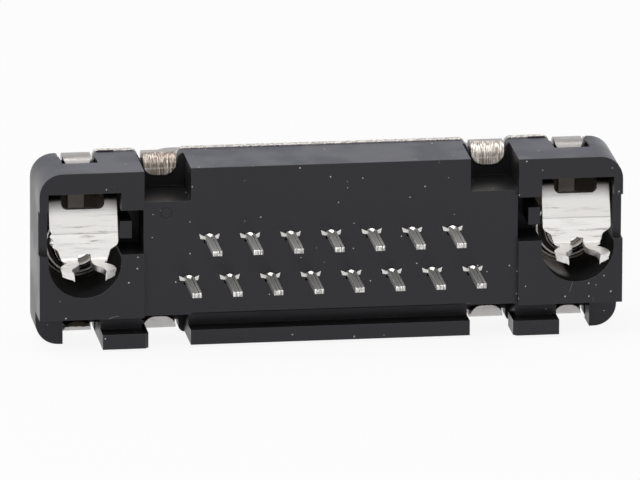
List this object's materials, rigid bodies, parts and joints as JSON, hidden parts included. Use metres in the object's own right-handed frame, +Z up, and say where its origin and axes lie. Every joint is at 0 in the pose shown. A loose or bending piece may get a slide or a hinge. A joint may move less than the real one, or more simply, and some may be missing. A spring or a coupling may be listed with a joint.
{
  "type": "d-sub connector",
  "caption": "D-shaped multi-way plug for a printed circuit board, with a steel shell on a black moulded body, pin contacts, snap-in board locks and threaded inserts.",
  "frame": {"origin": "centre of the steel flange's front face, midway between the two jack screw holes", "axes": "+X along the contact rows, +Y from the board towards the mating side, +Z up, across the rows, with the wide side of the D down"},
  "size_m": [0.0394, 0.0159, 0.0126],
  "materials": {
    "black_moulding": "fine moulded satin",
    "plated_shell": "tin plated, satin, with shear marks on its cut edges",
    "contact_metal": "tin plated tails, gold flashed pins",
    "lock_metal": "bright tin plate with rolling scratches",
    "insert_metal": "turned and nickel plated"
  },
  "bodies": {
    "root": {"housing": "black_moulding", "shell": "plated_shell", "contact_01": "contact_metal", "contact_02": "contact_metal", "contact_03": "contact_metal", "contact_04": "contact_metal", "contact_05": "contact_metal", "contact_06": "contact_metal", "contact_07": "contact_metal", "contact_08": "contact_metal", "contact_09": "contact_metal", "contact_10": "contact_metal", "contact_11": "contact_metal", "contact_12": "contact_metal", "contact_13": "contact_metal", "contact_14": "contact_metal", "contact_15": "contact_metal", "board_lock_left": "lock_metal", "board_lock_right": "lock_metal", "threaded_insert_left": "insert_metal", "threaded_insert_right": "insert_metal"}
  },
  "joints": []
}
